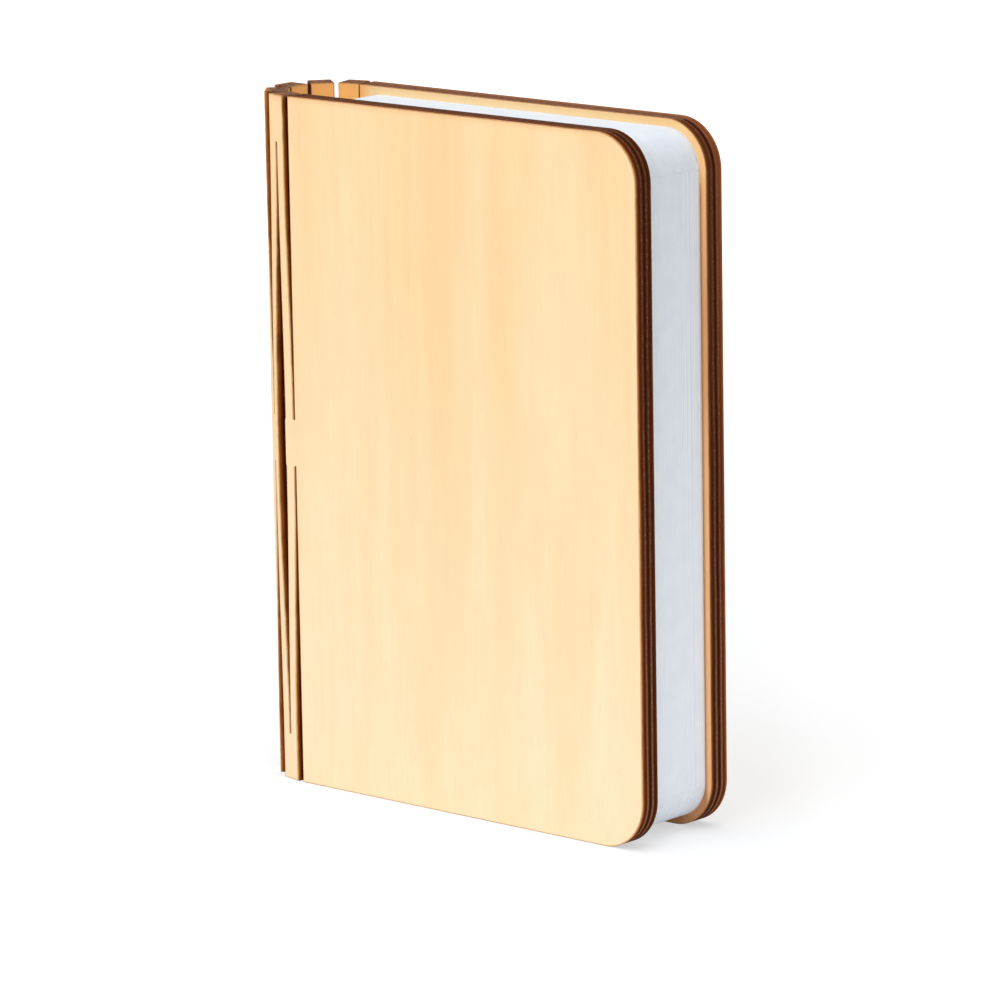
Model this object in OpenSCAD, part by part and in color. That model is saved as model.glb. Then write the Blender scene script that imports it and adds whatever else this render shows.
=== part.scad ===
// Folding book lamp: two plywood covers joined by a living hinge that is cut
// into the same sheet, an accordion of paper leaves between them, and a slim
// rechargeable light bar that stands in the spine.

/* [Book] */
// Height of the book, foot to head
book_h = 122; // [100:1:150]
// Width of a cover board, from its first slit to its fore-edge
cover_w = 78.2; // [60:0.1:100]
// Thickness of the plywood sheet
ply_t = 4.1; // [3:0.1:4.8]
// Radius of the two rounded corners of a cover
corner_r = 8.5; // [4:0.5:15]

/* [Living hinge] */
// Distance between neighbouring bending lines
link_pitch = 3.05; // [2.9:0.05:3.6]
// Width of one strip between two slits
strip_w = 1.95; // [1.6:0.05:2]
// Width of a laser cut
kerf = 0.3; // [0.1:0.05:0.4]
// Height of the uncut bridges that join the strips
bridge_h = 8.2; // [5:0.1:12]
// Angle that the sheet turns at the first and last bending line, book closed
end_turn = 14; // [10:1:18]
// Reach of a cover's tab past the first bending line
tab_over = 1; // [0.6:0.05:1.1]
// Clearance between the inner corners at a cover's slit, book closed
slit_clear = 0.2; // [0.1:0.05:0.4]

/* [Paper] */
// Thickness of one leaf
leaf_t = 0.14; // [0.1:0.01:0.16]
// Leaves in one group of the accordion
group_leaves = 6; // [4:2:6]
// Clearance between neighbouring groups
group_gap = 0.3; // [0.2:0.05:0.4]
// Thickness of an endpaper
endpaper_t = 0.25; // [0.1:0.05:0.4]
// Distance that the paper stays inside the cover's outline
paper_inset = 1.5; // [1:0.1:3]
// Clearance between the light bar and the paper's inner folds
paper_clear = 0.5; // [0.3:0.1:1]

/* [Light bar] */
// Radius of the bar's round back
bar_r = 6; // [5.9:0.05:6.1]
// Distance from the centre of the round back to the flat front
bar_front = 5.5; // [5.4:0.1:6]
// Radius of the two front corners
bar_corner = 1.5; // [1:0.1:3]
// Wall of the housing and of the diffuser
bar_wall = 0.8; // [0.7:0.05:0.85]
// Joint line between housing and diffuser, ahead of the centre
bar_split = 1; // [0.5:0.1:1.5]
// Distance of each cap's face from the end of the book
cap_recess = 5; // [3:0.5:6]
// Thickness of a cap's plate
cap_t = 5; // [4.5:0.1:6]
// Length of a cap's spigot inside the bar
spigot_l = 2; // [1:0.1:3]
// Wall of a cap's spigot
spigot_wall = 0.8; // [0.6:0.05:1]
// Sliding clearance of what fits inside the bar
fit_clear = 0.05; // [0.02:0.01:0.1]
// Width of the pad that is glued to the spine
pad_w = 3.6; // [2:0.1:4]

/* [Electrics] */
// Diameter of the battery cell
cell_d = 8; // [7:0.1:8.1]
// Length of the battery cell
cell_l = 42; // [30:1:48]
// Distance between the charging board and the cell
cell_gap = 2; // [1:0.5:3]
// Thickness of both circuit boards
board_t = 1; // [0.6:0.1:1.1]
// Depth of the charging board's back behind the bar's centre
board_back = 2.3; // [2.2:0.05:2.4]
// Length of the charging board
board_l = 36; // [33:1:40]
// Depth of the light board's face behind the diffuser's inside
light_gap = 0.8; // [0.75:0.05:0.9]
// Number of light-emitting diodes
led_count = 10; // [6:1:12]
// Length, width and height of one diode
led_size = [3.5, 2.8, 0.7];
// Width, height and depth of the charging socket
usb_size = [8.94, 3.26, 7.3];
// Wall of the socket's shell
usb_wall = 0.3; // [0.2:0.05:0.4]
// Diameter and length of the reed switch's glass tube
reed_size = [2, 12];
// Diameter of the cell's leads and of the board pins
lead_d = 0.7; // [0.5:0.1:0.8]
// Length of a lead that lies on the board
lead_lap = 3; // [2:0.5:4]

/* [Magnets and screws] */
// Diameter of the holding magnets in the covers
magnet_d = 6; // [4:0.5:8]
// Thickness of all magnets
magnet_t = 2; // [1:0.1:2.2]
// Distance of the holding magnets from the fore-edge and from foot and head
magnet_in = 14; // [12:1:25]
// Diameter of the magnet that works the reed switch
trigger_d = 4; // [3:0.5:4]
// Depth of glue over each magnet
glue_t = 0.1; // [0.05:0.05:0.2]
// Distance of the switch magnet from the cover's slit edge
trigger_in = 2.5; // [2:0.1:4]
// Diameter of a cap screw's shank
screw_d = 1.2; // [1:0.1:1.4]
// Diameter of a cap screw's head
screw_head_d = 2.2; // [2:0.1:2.4]
// Height of a cap screw's head
screw_head_h = 0.9; // [0.6:0.1:1.2]
// Length of a cap screw under its head
screw_l = 7; // [6.5:0.1:7.5]
// Wall of a screw boss
boss_wall = 0.8; // [0.6:0.1:0.9]

/* [Hidden] */

$fn = 64;
eps = 0.01;

// The chain of rigid links along the spine: link 0 is the front cover, links
// 1 to 9 lie between neighbouring bending lines, link 10 is the back cover.
// Odd links are the segments cut free at mid-height, even links the bridges
// cut free at foot and head.
links = 9;
lines = links + 1;
mid_turn = (180 - 2 * end_turn) / (lines - 2);
function heading(k) = k == 0 ? 0 : k == lines ? 180 : end_turn + (k - 1) * mid_turn;
function along(k) = [-cos(heading(k)), sin(heading(k))];
function sum_to(k, axis) = k < 1 ? 0 : sum_to(k - 1, axis) + link_pitch * along(k)[axis];

// Bending lines 1 to 10, in the row's own frame
spine_w = sum_to(links, 1);
gap_w = spine_w - ply_t;
plate_w = 2 * strip_w + kerf;
plate_over = (plate_w - link_pitch) / 2;
cover_edge = plate_over * cos(end_turn) + ply_t / 2 * sin(end_turn) + slit_clear;
spine_out = min([for (k = [1 : links], end = [-plate_over, link_pitch + plate_over])
    sum_to(k - 1, 0) + end * along(k)[0] - ply_t / 2 * sin(heading(k))]);
axis_x = -(cover_edge + cover_w + spine_out) / 2;
fore_x = axis_x + cover_edge + cover_w;
function line(k) = [axis_x + sum_to(k - 1, 0), sum_to(k - 1, 1) - spine_w / 2];

// Heights
head_z = book_h - bridge_h;
mid_z = (book_h - bridge_h) / 2;

// Paper
page_w = fore_x - paper_inset - axis_x - bar_front - paper_clear;
page_x = axis_x + bar_front + paper_clear;
page_r = max(corner_r - paper_inset, 1);
page_h = book_h - 2 * paper_inset;
group_t = (gap_w - 2 * endpaper_t - (links + 1) * group_gap) / links;
leaf_pitch = (group_t - leaf_t) / (group_leaves - 1);

// Light bar
bar_z = cap_recess + cap_t;
bar_l = book_h - 2 * bar_z;
spine_face_x = line(5)[0] + ply_t / 2 - axis_x;
boss_r = screw_d / 2 + boss_wall;
boss_l = screw_l - cap_t + screw_head_h + 1;
screw_x = -(bar_r - bar_wall) + boss_r - fit_clear * 2;
board_w = 2 * sqrt(pow(bar_r - bar_wall - fit_clear, 2) - pow(board_back, 2));
board_x = -board_back + board_t;
board_z = bar_z + fit_clear * 4;
light_w = 2 * (bar_r - bar_wall - fit_clear);
light_x = bar_front - bar_wall - light_gap;
light_z = bar_z + spigot_l + 10 * fit_clear;
light_l = book_h - 2 * light_z;
cell_x = -(bar_r - bar_wall - fit_clear) + cell_d / 2;
cell_z = board_z + board_l + cell_gap;
reed_z = board_z + board_l - lead_lap - 1 - reed_size[1];

wood = "#f5d9ab";
burnt = "#c99a62";
paper = "#eef3fa";
white_plastic = "#f2f2ee";
steel = "#b9bcc0";

// ---- plywood sheet ----

// A cover's outline: square at the spine, two rounded corners at the fore-edge
module board_outline(w, h, r) {
    square([w - r, h]);
    translate([0, r]) square([w, h - 2 * r]);
    for (z = [r, h - r]) translate([w - r, z]) circle(r);
}

// Stands an outline up in the XZ plane, its near face at y, t thick
module upright(y, t) {
    translate([0, y + t, 0]) rotate([90, 0, 0]) linear_extrude(t) children();
}

// A round pocket in a cover's inner face, or what seats on its floor:
// side -1 is the front cover, 1 the back one
module in_pocket(side, x, z, d, deep, under) {
    translate([x, side * (gap_w / 2 + under), z])
        rotate([-90 * side, 0, 0]) cylinder(h = deep, d = d);
}

pocket_t = magnet_t + glue_t;
trigger_x = axis_x + cover_edge + trigger_in + trigger_d / 2;
trigger_z = reed_z + reed_size[1] / 2;

module cover(side) {
    near_y = side < 0 ? -gap_w / 2 - ply_t : gap_w / 2;
    color(wood) difference() {
        upright(near_y, ply_t) {
            translate([axis_x + cover_edge, 0]) board_outline(cover_w, book_h, corner_r);
            translate([axis_x - tab_over, mid_z]) square([cover_edge + tab_over + 1, bridge_h]);
        }
        for (z = [magnet_in, book_h - magnet_in])
            in_pocket(side, fore_x - magnet_in, z, magnet_d + 2 * fit_clear, pocket_t + eps, -eps);
        if (side > 0)
            in_pocket(side, trigger_x, trigger_z, trigger_d + 2 * fit_clear, pocket_t + eps, -eps);
    }
}

// Puts children on link k: x along the link, y out of the book, z up
module on_link(k) {
    translate(line(k)) rotate([0, 0, 180 - heading(k)]) children();
}

module plate(z) {
    translate([-plate_over, -ply_t / 2, z]) cube([plate_w, ply_t, bridge_h]);
}

// The foot and head plates that join the two strips of segment i
module spine_segment(i) {
    color(wood) on_link(2 * i - 1) {
        plate(0);
        plate(head_z);
    }
}

// The mid-height plate between segments i and i + 1
module spine_bridge(i) {
    color(wood) on_link(2 * i) plate(mid_z);
}

// Middle of a strip's section where it leaves link k at bending line j
function strip_mid(j, k) =
    let (over = k == 0 || k == lines ? tab_over : plate_over)
    line(j) + (k == j ? 1 : -1) * (strip_w / 2 - over) * along(k);

function smooth(f) = f * f * (3 - 2 * f);

// Section of strip j, from f = 0 at its segment to f = 1 at its bridge
function strip_ring(j, f, z) =
    let (
        seg = j % 2 == 1 ? j : j - 1,
        bri = j % 2 == 1 ? j - 1 : j,
        s = smooth(f),
        mid = strip_mid(j, seg) * (1 - s) + strip_mid(j, bri) * s,
        turn = heading(seg) * (1 - s) + heading(bri) * s,
        u = [-cos(turn), sin(turn)],
        v = [-sin(turn), -cos(turn)]
    )
    [for (c = [[-1, -1], [1, -1], [1, 1], [-1, 1]])
        let (p = mid + c[0] * strip_w / 2 * u + c[1] * ply_t / 2 * v) [p[0], p[1], z]];

strip_steps = 8;

// A bar between ring lists that run upwards
module loft(rings) {
    n = len(rings) - 1;
    polyhedron(
        [for (ring = rings) each ring],
        concat([[0, 3, 2, 1]], [[4 * n, 4 * n + 1, 4 * n + 2, 4 * n + 3]],
            [for (i = [0 : n - 1], c = [0 : 3])
                let (a = 4 * i + c, b = 4 * i + (c + 1) % 4) each [[a, b, b + 4], [a, b + 4, a + 4]]])
    );
}

// Strip j: it twists from its segment's angle at foot and head to its
// bridge's angle at mid-height
module hinge_strip(j) {
    free = mid_z - bridge_h;
    color(burnt) {
        loft([for (i = [0 : strip_steps]) let (f = i / strip_steps)
            strip_ring(j, f, bridge_h + f * free)]);
        loft([for (i = [0 : strip_steps]) let (f = i / strip_steps)
            strip_ring(j, 1 - f, mid_z + bridge_h + f * free)]);
    }
}

// ---- paper ----

module page_outline() {
    translate([page_x, paper_inset]) board_outline(page_w, page_h, page_r);
}

module endpaper(side) {
    color(paper) upright(side < 0 ? -gap_w / 2 : gap_w / 2 - endpaper_t, endpaper_t) page_outline();
}

// Group k of the accordion: leaves joined by folds at the fore-edge and at
// the spine in turn, cut to the page's rounded outline
module paper_fold(k) {
    y0 = -gap_w / 2 + endpaper_t + group_gap + (k - 1) * (group_t + group_gap);
    color(paper) intersection() {
        upright(y0, group_t) page_outline();
        translate([page_x, y0, 0]) linear_extrude(book_h) {
            for (i = [0 : group_leaves - 1]) translate([0, i * leaf_pitch]) square([page_w, leaf_t]);
            for (i = [0 : group_leaves - 2])
                translate([i % 2 == 0 ? page_w - leaf_t : 0, i * leaf_pitch])
                    square([leaf_t, leaf_pitch + leaf_t]);
        }
    }
}

// ---- light bar ----

// The bar's section less a wall: a round back and a flat front
module bar_section(less) {
    r = bar_r - less;
    front = bar_front - less;
    c = max(bar_corner - less, 0.3);
    circle(r);
    translate([0, -r]) square([front - c, 2 * r]);
    translate([0, c - r]) square([front, 2 * (r - c)]);
    for (y = [c - r, r - c]) translate([front - c, y]) circle(c);
}

module at_bar(z = 0) {
    translate([axis_x, 0, z]) children();
}

module bar_tube() {
    linear_extrude(bar_l) difference() {
        bar_section(0);
        bar_section(bar_wall);
    }
}

module both_ends() {
    children();
    translate([0, 0, book_h]) mirror([0, 0, 1]) children();
}

// Round back half, with a screw boss at each end
module bar_housing() {
    color(white_plastic) at_bar() {
        intersection() {
            translate([0, 0, bar_z]) bar_tube();
            translate([-2 * bar_r, -2 * bar_r, 0]) cube([2 * bar_r + bar_split, 4 * bar_r, book_h]);
        }
        both_ends() difference() {
            translate([screw_x, 0, bar_z]) cylinder(h = boss_l, r = boss_r);
            translate([screw_x, 0, bar_z - eps]) cylinder(h = boss_l + 2 * eps, d = screw_d + 2 * fit_clear);
            translate([0, 0, bar_z - eps]) linear_extrude(boss_l + 2 * eps) difference() {
                circle(2 * bar_r);
                circle(bar_r - bar_wall / 2);
            }
        }
    }
}

// Milky front half
module bar_diffuser() {
    color("white", 0.8) at_bar() intersection() {
        translate([0, 0, bar_z]) bar_tube();
        translate([bar_split, -2 * bar_r, 0]) cube([2 * bar_r, 4 * bar_r, book_h]);
    }
}

// Cap: a plate with a pad glued to the spine, a spigot and a screw hole
module cap() {
    translate([0, 0, cap_recess]) difference() {
        union() {
            linear_extrude(cap_t) bar_section(0);
            translate([spine_face_x, -pad_w / 2, 0])
                cube([-spine_face_x - bar_r / 2, pad_w, bridge_h - cap_recess]);
            translate([0, 0, cap_t]) linear_extrude(spigot_l) difference() {
                bar_section(bar_wall + fit_clear);
                bar_section(bar_wall + fit_clear + spigot_wall);
                translate([screw_x, 0]) circle(boss_r + fit_clear);
                translate([-bar_r, -boss_r]) square([bar_r + screw_x, 2 * boss_r]);
            }
        }
        translate([screw_x, 0, -eps]) cylinder(h = cap_t + 2 * eps, d = screw_d + 4 * fit_clear);
        translate([screw_x, 0, -eps]) cylinder(h = screw_head_h + eps, d = screw_head_d + 4 * fit_clear);
    }
}

usb_x = board_x + usb_size[1] / 2;

// Outline of the charging socket, grown by g
module usb_outline(g) {
    r = usb_size[1] / 2 + g;
    reach = (usb_size[0] - usb_size[1]) / 2;
    square([2 * r, 2 * reach], center = true);
    for (y = [-reach, reach]) translate([0, y]) circle(r);
}

module foot_cap() {
    color(white_plastic) at_bar() difference() {
        cap();
        translate([usb_x, 0, cap_recess - eps]) linear_extrude(cap_t + 2 * eps) usb_outline(fit_clear);
        translate([-board_back - fit_clear, -board_w, bar_z])
            cube([board_t + usb_size[1] + 2 * fit_clear, 2 * board_w, spigot_l + eps]);
    }
}

module head_cap() {
    color(white_plastic) at_bar(book_h) mirror([0, 0, 1]) cap();
}

// ---- electrics ----

module light_board() {
    color("white") at_bar(light_z)
        translate([light_x - board_t, -light_w / 2, 0]) cube([board_t, light_w, light_l]);
}

module light_diodes() {
    step = light_l / led_count;
    color("#f4e7a0") for (i = [0 : led_count - 1])
        at_bar(light_z + (i + 0.5) * step - led_size[0] / 2)
            translate([light_x, -led_size[1] / 2, 0]) cube([led_size[2], led_size[1], led_size[0]]);
}

// Cell with its raised contact at the head end
module battery_cell() {
    tip = 1;
    color("#4a8fc4") at_bar(cell_z) translate([cell_x, 0, 0]) {
        cylinder(h = cell_l - tip, d = cell_d);
        cylinder(h = cell_l, d = cell_d * 0.4);
    }
}

// Two leads from the cell's foot down onto the charging board
module battery_leads() {
    color("#b03030") for (y = [-cell_d / 4, cell_d / 4])
        at_bar(board_z + board_l - lead_lap)
            translate([board_x + lead_d / 2, y, 0])
                cylinder(h = lead_lap + cell_gap, d = lead_d, $fn = 24);
}

// Board with its charging chip and a few small parts
module charging_board() {
    chip = [1.2, 4, 4];
    color("#2f6f4f") at_bar(board_z) {
        translate([-board_back, -board_w / 2, 0]) cube([board_t, board_w, board_l]);
        translate([board_x, -chip[1] / 2, usb_size[2] + 2]) cube(chip);
        for (y = [-board_w / 4, board_w / 4])
            translate([board_x, y - 0.5, usb_size[2] + chip[2] + 3]) cube([0.8, 1, 2]);
    }
}

// Pins that carry the light board's current
module board_pins() {
    reach = light_x - board_t - board_x;
    color(steel) for (y = [-0.35, 0.35])
        at_bar(board_z + board_l - lead_lap / 2)
            translate([board_x, y * board_w, 0]) rotate([0, 90, 0])
                cylinder(h = reach, d = lead_d, $fn = 24);
}

// Shell of the charging socket with its tongue
module charging_socket() {
    tongue = [0.7, usb_size[0] - 2.6, usb_size[2] - 1.2];
    color(steel) at_bar(cap_recess) translate([usb_x, 0, 0]) {
        difference() {
            linear_extrude(usb_size[2]) usb_outline(0);
            translate([0, 0, -eps]) linear_extrude(usb_size[2] - 1 + eps) usb_outline(-usb_wall);
        }
        translate([-tongue[0] / 2, -tongue[1] / 2, usb_size[2] - tongue[2] - 0.5]) cube(tongue);
    }
}

// Glass reed switch lying on the board, on the back cover's side
module reed_switch() {
    color("#9fc7b0") at_bar(reed_z)
        translate([board_x + reed_size[0] / 2, reed_size[0], 0])
            cylinder(h = reed_size[1], d = reed_size[0], $fn = 32);
}

// ---- magnets and screws ----

module holding_magnets(side) {
    color(steel) for (z = [magnet_in, book_h - magnet_in])
        in_pocket(side, fore_x - magnet_in, z, magnet_d, magnet_t, glue_t);
}

module switch_magnet() {
    color(steel) in_pocket(1, trigger_x, trigger_z, trigger_d, magnet_t, glue_t);
}

// One pan-head screw through each cap into the housing's boss
module cap_screws() {
    color(steel) at_bar() both_ends() translate([screw_x, 0, cap_recess]) difference() {
        union() {
            cylinder(h = screw_head_h, d = screw_head_d);
            cylinder(h = screw_head_h + screw_l, d = screw_d);
        }
        for (turn = [0, 90]) rotate(turn)
            translate([-screw_head_d / 3, -0.15, -eps]) cube([screw_head_d * 2 / 3, 0.3, 0.5]);
    }
}

cover(-1);  // front_cover
cover(1);  // back_cover
endpaper(-1);  // front_endpaper
endpaper(1);  // back_endpaper
for (i = [1 : 5]) spine_segment(i);
for (i = [1 : 4]) spine_bridge(i);
for (j = [1 : 9]) hinge_strip(j);
hinge_strip(10);  // hinge_strip_10
for (k = [1 : 9]) paper_fold(k);
bar_housing();
bar_diffuser();
foot_cap();
head_cap();
light_board();
light_diodes();
battery_cell();
battery_leads();
charging_board();
board_pins();
charging_socket();
reed_switch();
holding_magnets(-1);  // front_magnets
holding_magnets(1);  // back_magnets
switch_magnet();
cap_screws();
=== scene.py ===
import math
import random
import bmesh
import bpy
from mathutils import Matrix, Vector


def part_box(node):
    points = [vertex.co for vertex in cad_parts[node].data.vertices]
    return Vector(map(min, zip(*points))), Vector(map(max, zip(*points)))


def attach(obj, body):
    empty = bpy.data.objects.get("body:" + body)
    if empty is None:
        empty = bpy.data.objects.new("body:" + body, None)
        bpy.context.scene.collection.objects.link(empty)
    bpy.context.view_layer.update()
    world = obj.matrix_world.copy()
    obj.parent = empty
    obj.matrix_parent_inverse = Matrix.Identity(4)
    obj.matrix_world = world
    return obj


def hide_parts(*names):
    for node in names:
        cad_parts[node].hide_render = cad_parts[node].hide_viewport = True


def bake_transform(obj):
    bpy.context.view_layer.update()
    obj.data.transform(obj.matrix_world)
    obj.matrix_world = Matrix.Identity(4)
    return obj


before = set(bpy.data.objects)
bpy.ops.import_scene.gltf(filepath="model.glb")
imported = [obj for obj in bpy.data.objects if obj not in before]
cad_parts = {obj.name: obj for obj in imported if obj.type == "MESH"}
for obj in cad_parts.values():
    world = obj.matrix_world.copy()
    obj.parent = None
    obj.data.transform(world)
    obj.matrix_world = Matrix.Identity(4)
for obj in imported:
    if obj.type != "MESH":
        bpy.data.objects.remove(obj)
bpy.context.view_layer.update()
bpy.ops.object.select_all(action="DESELECT")


# ---- Covers ----
# Front and back cover are the two ends of one sheet of three-ply birch, cut by laser: two round
# corners at the fore-edge, and at mid-height a tab that carries the hinge's first strip. Pockets
# in the inner face take the magnets. Lengths are in metres, and a cut chars the plies brown.

MM = 0.001
HEIGHT, COVER_W, PLY, CORNER_R = 122 * MM, 78.2 * MM, 4.1 * MM, 8.5 * MM
PITCH, BRIDGE, TAB_OVER = 3.05 * MM, 8.2 * MM, 1 * MM
CHAMFER, CHAR, NEAR = 0.1 * MM, 0.35 * MM, 0.01 * MM
MAGNET_IN, MAGNET_HOLE, SWITCH_HOLE, POCKET = 14 * MM, 6.1 * MM, 4.1 * MM, 2.1 * MM

# The gap between the covers, their fore-edge and their bending lines come from the frame.
back_low, back_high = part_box("back_cover")
GAP, FORE_X, AXIS_X = 2 * back_low.y, back_high.x, back_low.x + TAB_OVER
SLIT_X = FORE_X - COVER_W

# Height of the middle bridges' foot, and heights of the seams between the sheet's pieces
MID = (HEIGHT - BRIDGE) / 2
SEAMS = (BRIDGE, MID, MID + BRIDGE, HEIGHT - BRIDGE)

# Every piece keeps its place in the flat sheet, so that the grain runs on over its neighbours:
# across from the first bending line, in from the outer face, and up. SPAN reaches to the last
# bending line, and TO_SLIT and TO_FORE from the middle of the spine to the edges of a cover.
SPAN = 9 * PITCH
TO_SLIT = SPAN / 2 + SLIT_X - AXIS_X
TO_FORE = TO_SLIT + COVER_W


class Wire:
    """A socket in a material's nodes, or only its tree, that expressions can be written with."""

    def __init__(self, tree, socket=None):
        self.tree, self.socket = tree, socket

    def node(self, kind, sockets=None, out=0, stops=None, **settings):
        made = self.tree.nodes.new("ShaderNode" + kind)
        for name, value in settings.items():
            setattr(made, name, value)
        if stops:
            ramp = made.color_ramp.elements
            ramp.remove(ramp[1])
            ramp[0].position, ramp[0].color = stops[0]
            for place, colour in stops[1:]:
                ramp.new(place).color = colour
        for name, value in (sockets or {}).items():
            if isinstance(value, Wire):
                self.tree.links.new(value.socket, made.inputs[name])
            else:
                made.inputs[name].default_value = value
        return Wire(self.tree, made.outputs[out])

    def maths(self, operation, *values):
        return self.node("Math", dict(enumerate(values)), operation=operation)

    def __add__(self, other): return self.maths("ADD", self, other)
    def __radd__(self, other): return self.maths("ADD", other, self)
    def __sub__(self, other): return self.maths("SUBTRACT", self, other)
    def __rsub__(self, other): return self.maths("SUBTRACT", other, self)
    def __mul__(self, other): return self.maths("MULTIPLY", self, other)
    def __rmul__(self, other): return self.maths("MULTIPLY", other, self)
    def __lt__(self, other): return self.maths("LESS_THAN", self, other)
    def __abs__(self): return self.maths("ABSOLUTE", self)

    def rise(self, low, high):
        """0 below low, 1 above high, and a smooth step between."""
        return self.node("MapRange", {"Value": self, "From Min": low, "From Max": high},
                         interpolation_type="SMOOTHSTEP")

    def mix(self, first, second):
        """Colour first where this is 0, second where it is 1."""
        return self.node("Mix", {0: self, 6: first, 7: second}, out=2, data_type="RGBA")

    def scaled(self, x, y, z):
        """These coordinates stretched by three numbers."""
        return self.node("Mapping", {"Vector": self, "Scale": (x, y, z)})

    def noise(self, detail=2, rough=0.5, twist=0.0):
        return self.node("TexNoise", {"Vector": self, "Scale": 1.0, "Detail": detail,
                                      "Roughness": rough, "Distortion": twist})

    def axis(self, name):
        return self.node("SeparateXYZ", {0: self}, out=name)

    def bump(self, depth):
        return self.node("Bump", {"Height": self, "Strength": 1.0, "Distance": depth})


def paint(red, green, blue):
    """A colour as a screen shows it, 0 to 255, in the linear numbers that sockets take."""
    return *(((c / 255 + 0.055) / 1.055) ** 2.4 for c in (red, green, blue)), 1.0


def material(name, recipe, **fixed):
    """A new material: recipe(wire) gives what varies, and the rest is set outright."""
    made = bpy.data.materials.new(name)
    made.use_nodes = True
    shader = made.node_tree.nodes["Principled BSDF"]
    for socket, value in fixed.items():
        shader.inputs[socket.replace("_", " ")].default_value = value
    for socket, value in recipe(Wire(made.node_tree)).items():
        made.node_tree.links.new(value.socket, shader.inputs[socket])
    return made


def veneer(wire):
    """Sanded birch face, made paler towards the foot by painted light: soft upright bands broken
    into short streaks, clouds, fine fibres and flecks. The inner face is warmer, and painted shade
    turns it deep orange at the spine, where laser smoke also stained it, and darker beside the
    fore-edge, most a little below the head, and at the foot, with a dark painted line beside the
    paper. Char runs beside a cut, and the head is toasted."""
    sheet = wire.node("Attribute", attribute_name="sheet", out="Vector")
    char = wire.node("Attribute", attribute_name="scorch", out="Fac")
    across, height = sheet.axis("X"), sheet.axis("Z")
    aside, below = abs(across - SPAN / 2), HEIGHT - height

    sway = (sheet.scaled(16, 300, 30).noise(2) - 0.5) * (2 * MM)
    place = sheet.node("VectorMath", {0: sheet, 1: sway.node("CombineXYZ", {"X": sway})},
                       operation="ADD")
    bands = place.scaled(75, 900, 7).noise(4, 0.6).rise(0.34, 0.68)
    narrow = place.scaled(430, 900, 34).noise(3, 0.6).rise(0.36, 0.74)
    clouds = sheet.scaled(190, 900, 110).noise(3, 0.65).rise(0.3, 0.72)
    fibres = place.scaled(2600, 900, 110).noise(3, 0.6)
    flecks = place.scaled(1700, 900, 420).noise(2, 0.5).rise(0.66, 0.76)
    # Painted light: the face is paler towards the foot, and its bands are stronger towards the
    # head.
    up = height.rise(-0.2 * HEIGHT, 1.1 * HEIGHT)
    colour = up.mix(paint(252, 230, 194), paint(252, 221, 172))
    colour = (bands * (up * 0.55 + 0.2)).mix(colour, paint(245, 205, 150))
    colour = (narrow * (up * 0.12 + 0.12)).mix(colour, paint(243, 202, 153))
    colour = (clouds * 0.2).mix(colour, paint(244, 206, 160))
    colour = (fibres.rise(0.45, 0.75) * 0.12).mix(colour, paint(230, 188, 140))
    colour = (flecks * 0.16).mix(colour, paint(212, 166, 114))

    # Painted shade with some laser smoke stain: deep orange on the inner face beside the spine's
    # slits.
    smoke_and_painted_shade = aside.rise(TO_SLIT + 3.3 * MM, TO_SLIT)
    # Painted shade on the inner face beside the fore-edge, weaker near the head.
    stain_and_painted_shade = aside.rise(TO_FORE - 5.4 * MM, TO_FORE - 1.9 * MM)
    # Painted shade beside the fore-edge, deepest a little below the head.
    painted_shade_below_head = below.rise(15 * MM, 34 * MM) * below.rise(60 * MM, 42 * MM)
    # Painted shade: a dark line on the inner face along the paper's edge, below the head's corner.
    glue_and_painted_shade = aside.rise(TO_FORE - 0.8 * MM, TO_FORE - 1.4 * MM) * below.rise(8 * MM, 13 * MM)
    inner_tone_and_painted_shade = smoke_and_painted_shade.mix(paint(250, 221, 168), paint(250, 183, 98))
    # Painted shade: the back cover's inner face turns more orange towards the fore-edge.
    inner_tone_and_painted_shade = (across.rise(68 * MM, 104 * MM) * 0.65).mix(inner_tone_and_painted_shade, paint(250, 203, 134))
    inner_tone_and_painted_shade = (stain_and_painted_shade * (below.rise(4 * MM, 16 * MM) * 0.5 + 0.3)).mix(inner_tone_and_painted_shade, paint(245, 176, 119))
    inner_tone_and_painted_shade = (stain_and_painted_shade * painted_shade_below_head * 0.38).mix(inner_tone_and_painted_shade, paint(176, 104, 62))
    inner_tone_and_painted_shade = (stain_and_painted_shade * glue_and_painted_shade * 0.85).mix(inner_tone_and_painted_shade, paint(146, 102, 68))
    # Painted shade: the inner face turns deeper orange at the foot.
    inner_tone_and_painted_shade = (height.rise(9 * MM, 1 * MM) * 0.8).mix(inner_tone_and_painted_shade, paint(200, 120, 68))
    inner = sheet.axis("Y").rise(0.4 * PLY, 0.6 * PLY)
    colour = (inner * 0.9).mix(colour, inner_tone_and_painted_shade)

    worn = (char * 1.5 - 0.6 + (fibres - 0.5) * 0.7).rise(0.0, 1.0)
    colour = (worn * 0.7).mix(colour, paint(186, 126, 72))
    toast = below.rise(1.3 * MM, 0.3 * MM)
    colour = (toast * 0.3).mix(colour, paint(232, 176, 116))
    return {"Base Color": colour, "Roughness": 0.56 + fibres * 0.16,
            "Normal": (fibres - flecks * 0.6).bump(0.02 * MM)}


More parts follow.
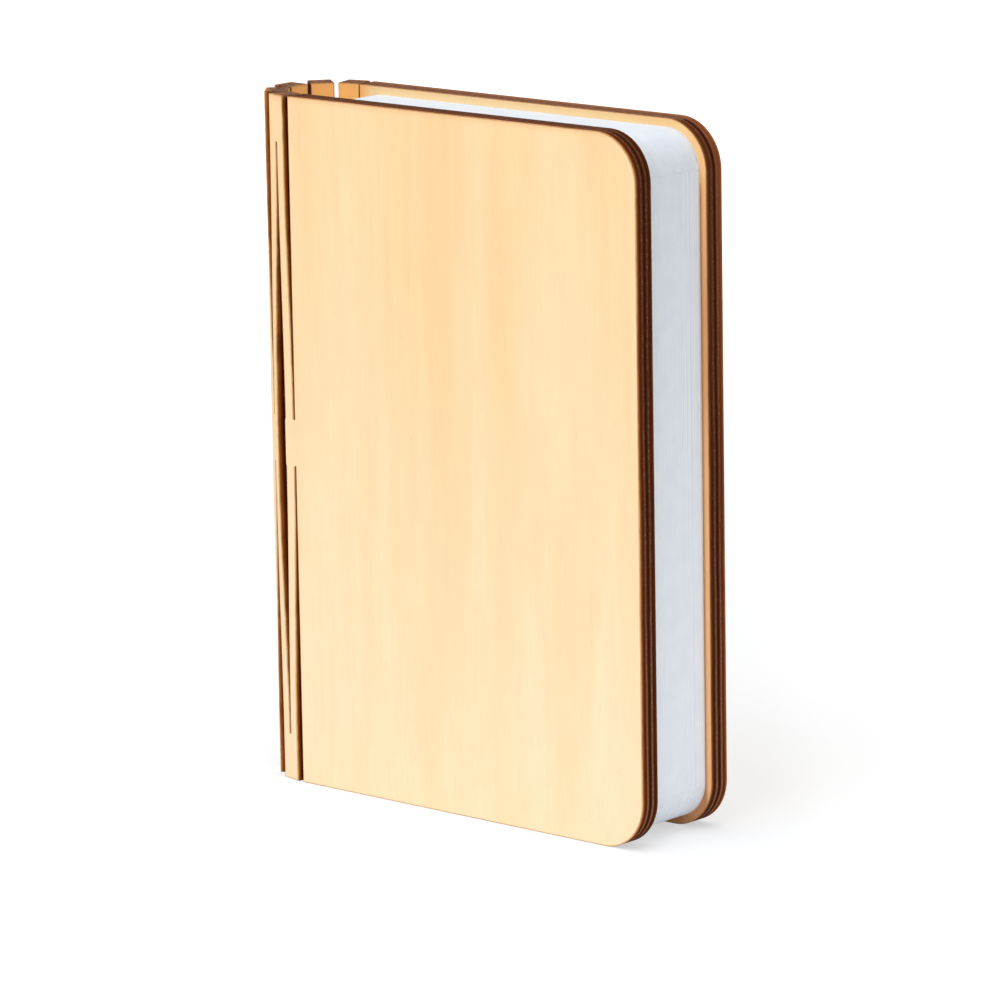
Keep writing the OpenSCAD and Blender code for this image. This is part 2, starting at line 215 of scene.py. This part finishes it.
def charred_plies(wire):
    """A laser cut through three plies: dark end grain in the middle, brown plies on both sides,
    paler glue lines between them, and a tan skin at the face. The narrow slits of the spine hold
    patches of soot, with painted shade deep inside and painted bounce light near the face. Painted
    light makes the glue lines paler towards the foot and the back cover's plies lighter and
    redder, most towards the head, and a pale painted sheen lies on the head."""
    sheet = wire.node("Attribute", attribute_name="sheet", out="Vector")
    height = sheet.axis("Z")
    wave = (sheet.scaled(55, 0, 55).noise(2) - 0.5) * (0.35 * MM)
    depth = (sheet.axis("Y") + wave) * (1 / PLY)
    beam = sheet.scaled(2400, 120, 2400).noise(2, 0.6)
    grain = sheet.scaled(1500, 2600, 420).noise(3, 0.65)
    outer_ply = [(0.0, paint(226, 176, 128)), (0.02, paint(198, 142, 96)),
                 (0.06, paint(166, 108, 66)), (0.1, paint(134, 76, 38)),
                 (0.15, paint(106, 52, 18)), (0.21, paint(84, 34, 4))]
    outer_glue = [(0.28, paint(92, 44, 22)), (0.34, paint(112, 66, 46)), (0.4, paint(92, 50, 30))]
    middle_ply = [(0.46, paint(62, 24, 6)), (0.54, paint(54, 18, 0))]
    inner_glue = [(0.6, paint(84, 46, 28)), (0.66, paint(100, 62, 42)), (0.72, paint(86, 46, 24))]
    inner_ply = [(0.8, paint(64, 24, 4)), (0.88, paint(82, 38, 12)), (0.95, paint(104, 56, 28)),
                 (1.0, paint(160, 108, 68))]
    board = depth.node("ValToRGB", {"Fac": depth},
                       stops=outer_ply + outer_glue + middle_ply + inner_glue + inner_ply)
    # The slits' walls: painted bounce light near the face, and painted shade deep inside.
    slit_face = [(0.0, paint(236, 190, 136)), (0.04, paint(202, 138, 76)),
                 (0.08, paint(168, 100, 42)), (0.14, paint(146, 76, 22)),
                 (0.19, paint(118, 50, 6)), (0.25, paint(74, 20, 0))]
    slit_depth = [(0.32, paint(54, 12, 0)), (0.42, paint(42, 8, 0)), (0.7, paint(44, 10, 0))]
    slit_back = [(0.88, paint(84, 38, 10)), (0.97, paint(126, 72, 34)), (1.0, paint(178, 122, 70))]
    slit = depth.node("ValToRGB", {"Fac": depth}, stops=slit_face + slit_depth + slit_back)
    spine = abs(sheet.axis("X") - SPAN / 2) < TO_SLIT + CHAR
    colour = (grain.rise(0.42, 0.72) * 0.35).mix(spine.mix(board, slit), paint(40, 12, 2))
    colour = (beam.rise(0.55, 0.8) * 0.1).mix(colour, paint(132, 80, 46))

    soot = sheet.scaled(90, 350, 110).noise(3, 0.6).rise(0.45, 0.7)
    colour = (spine * soot * 0.4).mix(colour, paint(62, 18, 0))
    glue_and_painted_shade = depth.rise(0.26, 0.34) * depth.rise(0.42, 0.36) + (
        depth.rise(0.58, 0.66) * depth.rise(0.74, 0.68))
    specks = sheet.scaled(2600, 2600, 2600).noise(2, 0.6).rise(0.52, 0.68)
    # Painted light makes the glue lines paler towards the foot.
    colour = (glue_and_painted_shade * (specks * 0.4 + height.rise(0.6 * HEIGHT, 0) * 0.36)).mix(
        colour, paint(172, 126, 98))
    # Painted light: the back cover's cut plies are lighter and redder, most towards the head.
    back_cover = sheet.axis("X").rise(SPAN + 1.55 * MM, SPAN + 2.55 * MM)
    plies = depth.rise(0.48, 0.36) + depth.rise(0.6, 0.72) * 0.3
    colour = (plies * back_cover * (height.rise(0.45 * HEIGHT, HEIGHT) * 0.3 + 0.05)).mix(
        colour, paint(176, 104, 66))
    flakes = sheet.scaled(1100, 1100, 1100).noise(3, 0.6).rise(0.15, 0.65)
    # A painted pale sheen on the cut tops along the head, broken into flakes, strongest on the
    # spine.
    painted_head_sheen = height.rise(HEIGHT - 0.5 * MM, HEIGHT - 0.05 * MM) * flakes
    colour = (painted_head_sheen * (spine * 0.4 + back_cover * 0.22 + 0.08)).mix(colour, paint(180, 138, 108))
    return {"Base Color": colour, "Roughness": 0.75 + grain * 0.2,
            "Normal": (beam + grain).bump(0.03 * MM)}


PLYWOOD = (material("birch_face", veneer, Specular_IOR_Level=0.3),
           material("laser_cut_plies", charred_plies, Specular_IOR_Level=0.02))


def pick(kind, wanted):
    """In edit mode, selects the FACE, EDGE or VERT items that wanted(item) is true of."""
    bpy.ops.mesh.select_mode(type=kind)
    bpy.ops.mesh.select_all(action="DESELECT")
    mesh = bmesh.from_edit_mesh(bpy.context.object.data)
    for item in {"FACE": mesh.faces, "EDGE": mesh.edges, "VERT": mesh.verts}[kind]:
        if wanted(item):
            item.select_set(True)
    mesh.select_flush_mode()
    bmesh.update_edit_mesh(bpy.context.object.data)


def runs(edge, axis):
    """Whether an edge lies along axis 0, 1 or 2."""
    line = edge.verts[1].co - edge.verts[0].co
    return abs(line[axis]) > 0.99 * line.length


def at_seam(height):
    """Whether a height is that of a seam between two pieces, where nothing was cut."""
    return any(abs(height - seam) < NEAR for seam in SEAMS)


def cut_from_sheet(piece, sheet_place):
    """Gives a piece its two finishes, its place in the flat sheet, and the char along its cuts."""
    mesh = piece.data
    for finish in PLYWOOD:
        mesh.materials.append(finish)
    for face in mesh.polygons:
        face.material_index = 0 if abs(face.normal.y) > 0.9 or (
            abs(face.normal.z) > 0.9 and at_seam(face.center.z)) else 1
    sheet = mesh.attributes.new("sheet", "FLOAT_VECTOR", "POINT")
    for spot, vertex in zip(sheet.data, mesh.vertices):
        spot.vector = sheet_place(*vertex.co)
    cut = {key for face in mesh.polygons if face.material_index for key in face.edge_keys}
    scorch = mesh.attributes.new("scorch", "FLOAT", "CORNER")
    for face in mesh.polygons:
        burnt = {v for key in face.edge_keys if key in cut and not all(
            at_seam(mesh.vertices[v].co.z) for v in key) for v in key}
        for loop in face.loop_indices:
            scorch.data[loop].value = mesh.loops[loop].vertex_index in burnt
    bpy.ops.object.shade_smooth_by_angle(angle=math.radians(25))


def cover(side, pockets):
    """side -1 is the front cover and 1 the back one; pockets are (x, z, diameter)."""
    bpy.ops.mesh.primitive_cube_add(
        size=1, scale=(COVER_W, PLY, HEIGHT),
        location=((SLIT_X + FORE_X) / 2, side * (GAP + PLY) / 2, HEIGHT / 2))
    board = bpy.context.object
    bpy.ops.object.transform_apply()
    bpy.ops.object.mode_set(mode="EDIT")
    pick("EDGE", lambda e: runs(e, 1) and e.verts[0].co.x > 0)
    bpy.ops.mesh.bevel(offset=CORNER_R, segments=14, affect="EDGES")
    for height in (MID, MID + BRIDGE):
        pick("FACE", lambda f: f.normal.x < -0.9)
        bpy.ops.mesh.bisect(plane_co=(0, 0, height), plane_no=(0, 0, 1))
    pick("FACE", lambda f: f.normal.x < -0.9 and abs(f.calc_center_median().z - HEIGHT / 2) < MM)
    bpy.ops.mesh.extrude_region_move(
        TRANSFORM_OT_translate={"value": (AXIS_X - TAB_OVER - SLIT_X, 0, 0)})
    bpy.ops.object.mode_set(mode="OBJECT")
    for x, z, wide in pockets:
        bpy.ops.mesh.primitive_cylinder_add(
            vertices=48, radius=wide / 2, depth=2 * POCKET, location=(x, side * GAP / 2, z),
            rotation=(math.pi / 2, 0, 0))
        drill = bpy.context.object
        bpy.context.view_layer.objects.active = board
        board.modifiers.new("pocket", "BOOLEAN").object = drill
        bpy.ops.object.modifier_apply(modifier="pocket")
        bpy.data.objects.remove(drill)
    board.select_set(True)
    bpy.ops.object.mode_set(mode="EDIT")
    pick("EDGE", lambda e: e.is_manifold and e.is_convex and e.calc_face_angle() > 1 and not all(
        at_seam(v.co.z) and v.co.x < SLIT_X + NEAR for v in e.verts))
    bpy.ops.mesh.bevel(offset=CHAMFER, segments=1, affect="EDGES")
    pick("FACE", lambda f: abs(f.normal.y) > 0.99 and (
        abs(abs(f.calc_center_median().y) - GAP / 2 - PLY / 2) > 0.49 * PLY))
    bpy.ops.mesh.inset(thickness=CHAR)
    bpy.ops.object.mode_set(mode="OBJECT")
    cut_from_sheet(board, lambda x, y, z: (
        SPAN + x - AXIS_X if side > 0 else AXIS_X - x, GAP / 2 + PLY - abs(y), z))
    bpy.ops.object.select_all(action="DESELECT")
    return board


holders = [(FORE_X - MAGNET_IN, z, MAGNET_HOLE) for z in (MAGNET_IN, HEIGHT - MAGNET_IN)]
low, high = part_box("switch_magnet")
switch = ((low.x + high.x) / 2, (low.z + high.z) / 2, SWITCH_HOLE)
for name, side, pockets in (("front", -1, holders), ("back", 1, holders + [switch])):
    board = cover(side, pockets)
    board.name = board.data.name = f"{name}_cover_board"
    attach(board, f"{name}_board")
    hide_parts(f"{name}_cover")


# ---- Spine segments and bridges ----
# The spine is the same sheet, slit into a living hinge. Five segments keep a plate at foot and
# at head, and four bridges keep one at mid-height. In the closed book each is turned 19 degrees
# to the next, so every plate is modelled flat and then laid on its own link.

STRIP, KERF = 1.95 * MM, 0.3 * MM
PLATE = 2 * STRIP + KERF
OVER = (PLATE - PITCH) / 2
END_TURN = math.radians(14)
TURN = (math.pi - 2 * END_TURN) / 8
BODIES = ("front_board", "link_1", "link_2", "link_3", "link_4", "spine_middle",
          "link_6", "link_7", "link_8", "link_9", "back_board")


def heading(link):
    """Direction of link 1 to 9, turned from the front cover's."""
    return END_TURN + (link - 1) * TURN


def line(number):
    """Where bending line 1 to 10 stands."""
    links = range(1, number)
    return (AXIS_X - sum(PITCH * math.cos(heading(k)) for k in links),
            sum(PITCH * math.sin(heading(k)) for k in links) - (GAP + PLY) / 2)


def lay(model, name, link, number, across=1, up=1):
    """A copy of a flat model on a link, from one of its bending lines; across or up of -1
    mirrors it. Its place in the flat sheet goes with it."""
    piece = model.copy()
    piece.data = model.data.copy()
    piece.name = piece.data.name = name
    bpy.context.collection.objects.link(piece)
    for spot in piece.data.attributes["sheet"].data:
        x, depth, z = spot.vector
        spot.vector = (PITCH * (number - 1) + across * x, depth, z if up > 0 else HEIGHT - z)
    piece.matrix_world = (
        Matrix.Translation((*line(number), HEIGHT / 2))
        @ Matrix.Rotation(math.pi - heading(link), 4, "Z")
        @ Matrix.Diagonal((across, 1, up, 1)) @ Matrix.Translation((0, 0, -HEIGHT / 2)))
    bpy.context.view_layer.objects.active = piece
    piece.select_set(True)
    bpy.ops.object.transform_apply()
    bpy.ops.object.mode_set(mode="EDIT")
    bpy.ops.mesh.select_all(action="SELECT")
    bpy.ops.mesh.normals_make_consistent(inside=False)
    bpy.ops.object.mode_set(mode="OBJECT")
    bpy.ops.object.select_all(action="DESELECT")
    return piece


def plate(low, twin):
    """A flat plate from height low, in the frame of its link's first line; twin adds the one
    at the head."""
    bpy.ops.mesh.primitive_cube_add(size=1, scale=(PLATE, PLY, BRIDGE),
                                    location=(PITCH / 2, 0, low + BRIDGE / 2))
    model = bpy.context.object
    bpy.ops.object.transform_apply()
    bpy.ops.object.mode_set(mode="EDIT")
    pick("EDGE", lambda e: not any(at_seam(v.co.z) for v in e.verts) or runs(e, 2))
    bpy.ops.mesh.bevel(offset=CHAMFER, segments=1, affect="EDGES")
    pick("FACE", lambda f: abs(f.normal.y) > 0.99)
    bpy.ops.mesh.inset(thickness=CHAR)
    if twin:
        bpy.ops.mesh.select_all(action="SELECT")
        bpy.ops.mesh.duplicate()
        bpy.ops.transform.resize(value=(1, 1, -1), center_override=(0, 0, HEIGHT / 2))
        bpy.ops.mesh.select_all(action="SELECT")
        bpy.ops.mesh.normals_make_consistent(inside=False)
    bpy.ops.object.mode_set(mode="OBJECT")
    cut_from_sheet(model, lambda x, y, z: (x, PLY / 2 - y, z))
    bpy.ops.object.select_all(action="DESELECT")
    return model


end_plates, mid_plate = plate(0, True), plate(MID, False)
for link in range(1, 10):
    if link % 2:
        piece = lay(end_plates, f"segment_plates_{link // 2 + 1}", link, link)
        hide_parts(f"spine_segment_{link // 2 + 1}")
    else:
        piece = lay(mid_plate, f"bridge_plate_{link // 2}", link, link)
        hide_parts(f"spine_bridge_{link // 2}")
    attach(piece, BODIES[link])
for model in (end_plates, mid_plate):
    bpy.data.objects.remove(model)


# ---- Hinge strips ----
# Between the slits stand ten thin strips of the same plywood, each tied to its segment at foot
# and head and to its bridge or cover at mid-height. A closed book holds them twisted, and they
# straighten as it opens. Each half of a strip twists between its own two links.


def half_strip(turn, over):
    """Lower half of a strip on its segment's link, twisted by turn towards its bridge."""
    free = MID - BRIDGE
    start = Vector((STRIP / 2 - OVER, 0, 0))
    stop = Vector((-math.cos(turn), -math.sin(turn), 0)) * (STRIP / 2 - over)
    bpy.ops.mesh.primitive_cube_add(size=1, scale=(STRIP, PLY, free),
                                    location=(start.x, 0, BRIDGE + free / 2))
    model = bpy.context.object
    bpy.ops.object.transform_apply()
    bpy.ops.object.mode_set(mode="EDIT")
    pick("EDGE", lambda e: runs(e, 2))
    bpy.ops.mesh.subdivide(number_cuts=13)
    pick("EDGE", lambda e: runs(e, 2))
    bpy.ops.mesh.bevel(offset=CHAMFER, segments=1, affect="EDGES")
    pick("FACE", lambda f: abs(f.normal.y) > 0.99)
    bpy.ops.mesh.inset(thickness=CHAR)
    bpy.ops.object.mode_set(mode="OBJECT")
    cut_from_sheet(model, lambda x, y, z: (x, PLY / 2 - y, z))
    bpy.ops.object.mode_set(mode="EDIT")
    # Each level is turned and moved to its place between the segment and the bridge.
    levels = sorted({round(v.co.z / MM, 3) for v in bmesh.from_edit_mesh(model.data).verts})
    for level in levels:
        part = min(max((level * MM - BRIDGE) / free, 0), 1)
        part = part * part * (3 - 2 * part)
        if part:
            pick("VERT", lambda v: abs(v.co.z / MM - level) < 0.002)
            bpy.ops.transform.rotate(value=-turn * part, orient_axis="Z",
                                     center_override=(start.x, 0, level * MM))
            bpy.ops.transform.translate(value=(stop - start) * part)
    bpy.ops.object.mode_set(mode="OBJECT")
    bpy.ops.object.select_all(action="DESELECT")
    return model


middle_strip, end_strip = half_strip(TURN, OVER), half_strip(END_TURN, TAB_OVER)
for number in range(1, 11):
    first = number % 2 == 1
    segment, bridge = (number, number - 1) if first else (number - 1, number)
    model = end_strip if number in (1, 10) else middle_strip
    for half, up, start, end in (("foot", 1, BRIDGE, MID),
                                 ("head", -1, HEIGHT - BRIDGE, MID + BRIDGE)):
        strip = lay(model, f"strip_{number:02}_{half}", segment, number,
                    across=1 if first else -1, up=up)
        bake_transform(strip)
        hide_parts(f"hinge_strip_{number:02}")
for model in (middle_strip, end_strip):
    bpy.data.objects.remove(model)


# ---- Paper accordion ----
# One long strip of white paper, folded to and fro into leaves and die-cut with round corners.
# A fold is held at each link of the spine, so the leaves between two links open like a fan.
# The outer leaves lie on endpapers that are glued to the covers.

LEAF, CREASE, PAGE_R = 0.228 * MM, 0.022 * MM, 7 * MM
UNEVEN, WAVER, CLEAR = 0.06 * MM, 0.004 * MM, 0.01 * MM
GROUPS = (4, 6, 6, 6, 6, 6, 6, 6, 6, 4)    # leaves from one link to the next
paper_low, paper_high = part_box("back_endpaper")
PAGE_X, PAGE_EDGE = paper_low.x, paper_high.x
PAGE_TOP = (paper_high.z - paper_low.z) / 2
PAPER_Y = paper_low.y - LEAF / 2 - CLEAR


def soft_paper(wire):
    """Uncoated white paper: cloudy fibres and a faint tooth."""
    place = wire.node("TexCoord", out="Object")
    cloud = place.scaled(300, 300, 300).noise(4, 0.6)
    fibre = place.scaled(2600, 2600, 900).noise(2, 0.6)
    colour = cloud.rise(0.3, 0.7).mix(paint(227, 233, 242), paint(231, 237, 244))
    colour = (fibre.rise(0.55, 0.8) * 0.08).mix(colour, paint(222, 226, 235))
    return {"Base Color": colour, "Roughness": 0.82 + fibre * 0.12,
            "Normal": fibre.bump(0.005 * MM)}


PAPER = material("paper", soft_paper, Specular_IOR_Level=0.2)


def leaf(near, far, edge):
    """A leaf as upright columns, from its fold at the spine, y near, to its fold at the
    fore-edge, y far: each one's x and y, half its height, and its share of the way. A fold is
    creased tight, so a leaf leaves it half its own thickness to the side."""
    span = edge - PAGE_X
    corner = [span - PAGE_R + PAGE_R * math.sin(math.radians(turn))
              for turn in (0, 15, 29, 42, 53, 62, 70, 77)]
    columns = []
    for reach in (0, CREASE, 9 * MM, 24 * MM, 44 * MM, *corner, span - CREASE, span):
        share = min(max((reach - CREASE) / (span - 2 * CREASE), 0), 1)
        bend = math.copysign(0.51 * LEAF * min(reach / CREASE, (span - reach) / CREASE, 1),
                             far - near)
        into_corner = max(PAGE_R - (span - reach), 0)
        cut = PAGE_R - math.sqrt(PAGE_R ** 2 - into_corner ** 2)
        columns.append((PAGE_X + reach, near + bend + (far - near - 2 * bend) * share,
                        PAGE_TOP - cut, share))
    return columns


def accordion(name, folds, chance):
    """Leaves through folds, a list of y: the first fold is at the spine, the next at the
    fore-edge, and so on. Gives the piece and its columns, two points of the mesh each."""
    outer = [PAGE_EDGE - chance.uniform(0, UNEVEN) for _ in folds]
    columns = []
    for count, (near, far) in enumerate(zip(folds, folds[1:])):
        if count % 2 == 0:
            made = leaf(near, far, outer[count + 1])
        else:
            made = [(x, y, tall, 1 - share) for x, y, tall, share in leaf(far, near, outer[count])]
            made.reverse()
        columns += [(x, y, tall, (count + share) / (len(folds) - 1))
                    for x, y, tall, share in made[1 if columns else 0:]]
    # One upright edge of a plane is the first column, and each other is drawn out of the last.
    bpy.ops.mesh.primitive_plane_add(size=1, location=(columns[0][0], columns[0][1], HEIGHT / 2),
                                     rotation=(0, math.pi / 2, 0))
    piece = bpy.context.object
    piece.name = piece.data.name = name
    bpy.ops.object.transform_apply()
    bpy.ops.object.mode_set(mode="EDIT")
    pick("VERT", lambda v: v.co.y > columns[0][1])
    bpy.ops.mesh.delete(type="VERT")
    bpy.ops.mesh.select_all(action="SELECT")
    bpy.ops.transform.resize(value=(1, 1, 2 * columns[0][2]),
                             center_override=(0, 0, HEIGHT / 2))
    bpy.ops.transform.translate(value=(0, 0.5, 0))
    for before, after in zip(columns, columns[1:]):
        bpy.ops.mesh.extrude_region_move(TRANSFORM_OT_translate={
            "value": (after[0] - before[0], after[1] - before[1], 0)})
        if not math.isclose(after[2], before[2]):
            bpy.ops.transform.resize(value=(1, 1, after[2] / before[2]),
                                     center_override=(0, 0, HEIGHT / 2))
    pick("EDGE", lambda e: e.is_boundary)
    bpy.ops.mesh.mark_sharp()
    bpy.ops.object.mode_set(mode="OBJECT")
    return piece, columns


chance = random.Random(7)
pitch = 2 * PAPER_Y / sum(GROUPS)
done = 0
for number, leaves in enumerate(GROUPS):
    folds = [-PAPER_Y + pitch * (done + k) + chance.uniform(-WAVER, WAVER) * (0 < k < leaves)
             for k in range(leaves + 1)]
    done += leaves
    group, columns = accordion(f"paper_leaves_{number + 1:02}", folds, chance)
    # Each fold turns by an even share of the hinge's angle. For a moment the leaves' y is set to
    # each column's share of the way between the two links, through a sine that undoes the smooth
    # step between them; the transform is baked, and the leaves are pressed together again.
    pressed = [v.co.y for v in group.data.vertices]
    for vertex in group.data.vertices:
        share = columns[vertex.index // 2][3]
        vertex.co.y = 0.5 - math.sin(math.asin(1 - 2 * share) / 3)
    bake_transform(group)
    for vertex, y in zip(group.data.vertices, pressed):
        vertex.co.y = y
    bpy.ops.object.shade_smooth_by_angle(angle=math.radians(10))
    thick = group.modifiers.new("leaf", "SOLIDIFY")
    thick.thickness, thick.offset, thick.use_even_offset = LEAF, 0, True
    group.data.materials.append(PAPER)
    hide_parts(f"paper_fold_{min(number + 1, 9)}")
    bpy.ops.object.select_all(action="DESELECT")
for name in ("front_endpaper", "back_endpaper"):
    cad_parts[name].material_slots[0].material = PAPER


# ---- Light bar ----
# A slim rechargeable bar is glued upright to the middle of the spine: a round-backed housing of
# white plastic, an opal front that snaps on to it, and a cap with two screws at each end.


def moulded(wire):
    """Satin white plastic with the faint grain of its mould."""
    place = wire.node("TexCoord", out="Object")
    grain = place.scaled(4200, 4200, 4200).noise(2, 0.5)
    flow = place.scaled(160, 160, 40).noise(2, 0.5)
    colour = flow.rise(0.3, 0.7).mix(paint(236, 236, 232), paint(242, 242, 239))
    return {"Base Color": colour, "Roughness": 0.36 + grain * 0.14,
            "Normal": grain.bump(0.004 * MM)}


def opal(wire):
    """Milky diffuser plastic, a little cooler than the housing."""
    place = wire.node("TexCoord", out="Object")
    cloud = place.scaled(220, 220, 60).noise(2, 0.5)
    grain = place.scaled(5200, 5200, 5200).noise(1, 0.5)
    colour = cloud.rise(0.3, 0.7).mix(paint(243, 245, 248), paint(249, 250, 252))
    return {"Base Color": colour, "Roughness": 0.3 + grain * 0.12,
            "Normal": grain.bump(0.003 * MM)}


WHITE_PLASTIC = material("white_plastic", moulded)
OPAL = material("opal_plastic", opal, Subsurface_Weight=0.3, Subsurface_Scale=0.002)
for name in ("bar_housing", "foot_cap", "head_cap"):
    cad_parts[name].material_slots[0].material = WHITE_PLASTIC
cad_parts["bar_diffuser"].material_slots[0].material = OPAL


# ---- Lights, battery and charging ----
# Inside the bar a white board carries ten diodes behind the opal front. A round cell in a shrink
# sleeve is wired to the charging board at the foot, which carries the socket and reed switch.


def solder_mask(shade, dark):
    """Recipe of a circuit board's lacquer: tracks show through, and the glass weave faintly."""
    def board(wire):
        place = wire.node("TexCoord", out="Object")
        weave = wire.node("TexVoronoi", {"Vector": place.scaled(1500, 1500, 700), "Scale": 1.0},
                          feature="F1", distance="CHEBYCHEV")
        track = place.scaled(0, 420, 90).noise(0).rise(0.5, 0.53)
        colour = (weave.rise(0.2, 0.9) * 0.25).mix(paint(*shade), paint(*dark))
        colour = (track * 0.5).mix(colour, paint(*dark))
        return {"Base Color": colour, "Roughness": 0.32 + weave * 0.15,
                "Normal": (track + weave * 0.2).bump(0.02 * MM)}
    return board


def phosphor(wire):
    """Diodes: yellow phosphor under clear gel, in a white frame."""
    place = wire.node("TexCoord", out="Object")
    speck = place.scaled(9000, 9000, 9000).noise(1)
    return {"Base Color": speck.rise(0.3, 0.7).mix(paint(240, 214, 110), paint(248, 228, 140)),
            "Normal": speck.bump(0.004 * MM)}


def shrink_sleeve(wire):
    """Plastic sleeve shrunk on the cell, slightly wavy round its ends."""
    place = wire.node("TexCoord", out="Object")
    wave = place.scaled(500, 500, 120).noise(2, 0.5, 0.5)
    colour = wave.rise(0.3, 0.7).mix(paint(40, 92, 150), paint(48, 104, 166))
    return {"Base Color": colour, "Roughness": 0.28 + wave * 0.2,
            "Normal": wave.bump(0.05 * MM)}


def worked_metal(shade, bright):
    """Recipe of a plated or drawn metal: lengthways draw marks and a cloudy shine."""
    def metal(wire):
        place = wire.node("TexCoord", out="Object")
        brushed = place.scaled(900, 900, 9000).noise(2, 0.6)
        stain_and_painted_shade = place.scaled(260, 260, 260).noise(2, 0.5)
        return {"Base Color": stain_and_painted_shade.rise(0.3, 0.7).mix(paint(*shade), paint(*bright)),
                "Roughness": 0.22 + stain_and_painted_shade * 0.2, "Normal": brushed.bump(0.003 * MM)}
    return metal


def drawn_glass(wire):
    """The reed switch's green-tinted glass tube, with faint draw lines."""
    place = wire.node("TexCoord", out="Object")
    drawn = place.scaled(3000, 3000, 200).noise(2)
    return {"Base Color": drawn.rise(0.3, 0.7).mix(paint(196, 222, 200), paint(210, 232, 214)),
            "Normal": drawn.bump(0.003 * MM)}


STEEL = material("steel", worked_metal((176, 178, 180), (196, 198, 200)), Metallic=1.0)
for name, finish in {
    "light_board": material("white_board", solder_mask((238, 238, 234), (214, 214, 208))),
    "light_diodes": material("phosphor", phosphor, Roughness=0.2, Coat_Weight=0.6),
    "battery_cell": material("shrink_sleeve", shrink_sleeve),
    "battery_leads": material("nickel", worked_metal((190, 184, 170), (206, 200, 188)),
                              Metallic=1.0),
    "charging_board": material("green_board", solder_mask((28, 92, 58), (16, 62, 40))),
    "board_pins": material("brass", worked_metal((196, 160, 84), (216, 182, 104)), Metallic=1.0),
    "charging_socket": STEEL,
    "reed_switch": material("reed_glass", drawn_glass, Roughness=0.08, Coat_Weight=0.5,
                            Transmission_Weight=0.6),
    "cap_screws": STEEL,
}.items():
    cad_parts[name].material_slots[0].material = finish


# ---- Magnets ----
# Nickel-plated disc magnets are glued into the covers' pockets: two pairs hold the book open,
# back to back, and a small one beside the spine works the reed switch.

NICKEL_PLATE = material("nickel_plate", worked_metal((204, 202, 196), (222, 220, 214)),
                        Metallic=1.0)
for name in ("front_magnets", "back_magnets", "switch_magnet"):
    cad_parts[name].material_slots[0].material = NICKEL_PLATE


# ---- Floor, light and camera ----
# A plain pale floor that reads white and keeps the shadow, an even white surround, a large soft
# lamp high in front, a weaker one above, a low one in front, and a small one at the fore-edge.

WHITE, SURROUND = (1, 1, 1, 1), 0.42
CAMERA_AT, CAMERA_TURN = (0.68537, -0.77142, 0.27269), (77.9877, 0.9382, 41.2429)


def seen_white(wire):
    """1 for what the camera, a gloss or glass sees straight, and 0 for light on the object."""
    seen, gloss, glass = (wire.node("LightPath", out=f"Is {ray} Ray")
                          for ray in ("Camera", "Glossy", "Transmission"))
    return seen + gloss + glass


def aim(lamp, target):
    """Turns a lamp to shine at a point."""
    lamp.rotation_euler = (Vector(target) - lamp.location).to_track_quat("-Z", "Y").to_euler()


bpy.ops.mesh.primitive_plane_add(size=12)
floor = bpy.context.object
floor.name = floor.data.name = "floor"
floor_finish = bpy.data.materials.new("pale_floor")
floor_finish.use_nodes = True
wire = Wire(floor_finish.node_tree)
place = wire.node("TexCoord", out="Object")
# The floor's own glow grows away from the book and beyond the shade at the fore-edge.
away = place.node("VectorMath", {0: place}, out="Value", operation="LENGTH").rise(0.12, 0.7)
beside = (place.axis("X") * 0.75 + place.axis("Y") * 0.66).rise(0.047, 0.063)
matt = wire.node("BsdfDiffuse", {"Color": (0.96, 0.96, 0.96, 1)})
pale = wire.node("BsdfDiffuse", {"Color": (0.49, 0.5, 0.515, 1)})
glow = wire.node("Emission", {"Color": WHITE, "Strength": 0.54 + away * 0.4 + beside * 0.04})
lifted = wire.node("AddShader", {0: pale, 1: glow})
shown = wire.node("MixShader", {0: seen_white(wire), 1: matt, 2: lifted})
wire.tree.links.new(shown.socket, wire.tree.nodes["Material Output"].inputs["Surface"])
floor.data.materials.append(floor_finish)

world = bpy.data.worlds.new("surround")
bpy.context.scene.world = world
world.use_nodes = True
wire = Wire(world.node_tree)
background = wire.tree.nodes["Background"]
wire.tree.links.new((SURROUND + seen_white(wire) * (1 - SURROUND)).socket,
                    background.inputs["Strength"])
background.inputs["Color"].default_value = WHITE

for name, place, size, power in (("key", (0.0, -0.72, 0.98), 1.1, 5.9),
                                 ("overhead", (0.0, -0.1, 1.0), 1.0, 4.0),
                                 ("front", (0.02, -1.0, 0.16), 0.8, 1.4)):
    bpy.ops.object.light_add(type="AREA", location=place)
    lamp = bpy.context.object
    lamp.name = lamp.data.name = name
    lamp.data.size, lamp.data.energy = size, power
    aim(lamp, (0, 0, 0.05))
bpy.ops.object.light_add(type="SPOT", location=(0.95, -0.3, 0.1))
lamp = bpy.context.object
lamp.name = lamp.data.name = "foot"
lamp.data.spot_size, lamp.data.spot_blend = math.radians(14), 1.0
lamp.data.shadow_soft_size, lamp.data.energy = 0.12, 14.5
aim(lamp, (0.04, 0, -0.03))

bpy.ops.object.camera_add(location=CAMERA_AT, rotation=[math.radians(a) for a in CAMERA_TURN])
camera = bpy.context.object
camera.data.lens, camera.data.sensor_width = 220.22, 36
bpy.context.scene.camera = camera
bpy.context.scene.view_settings.view_transform = "Standard"
